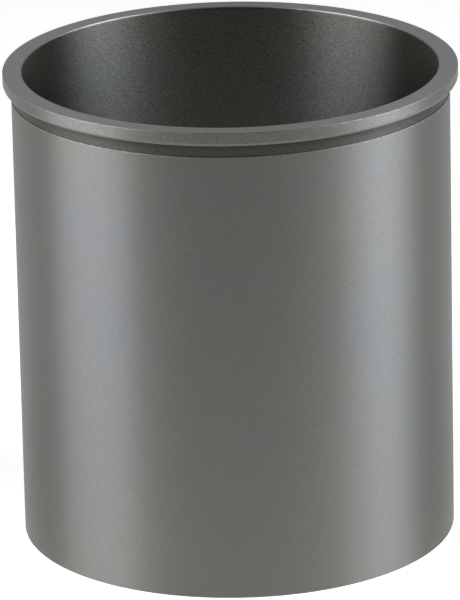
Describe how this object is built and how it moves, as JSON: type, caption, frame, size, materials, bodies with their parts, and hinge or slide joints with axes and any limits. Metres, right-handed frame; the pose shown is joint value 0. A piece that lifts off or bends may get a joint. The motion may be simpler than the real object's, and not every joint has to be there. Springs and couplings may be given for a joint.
{
  "type": "cylinder liner",
  "caption": "Thin-walled round sleeve with a plain honed bore, a ground outside, a narrow flange round its top end and a shallow relief groove under the flange.",
  "frame": {"origin": "on the bore axis, at the bottom face that the liner stands on", "axes": "+Z along the bore axis towards the flange; X and Y are any two directions across the bore"},
  "size_m": [0.0984, 0.0984, 0.105],
  "materials": {
    "liner": "ground outside and honed bore, both satin; turned rim and groove, duller"
  },
  "bodies": {
    "root": {"liner": "liner"}
  },
  "joints": []
}
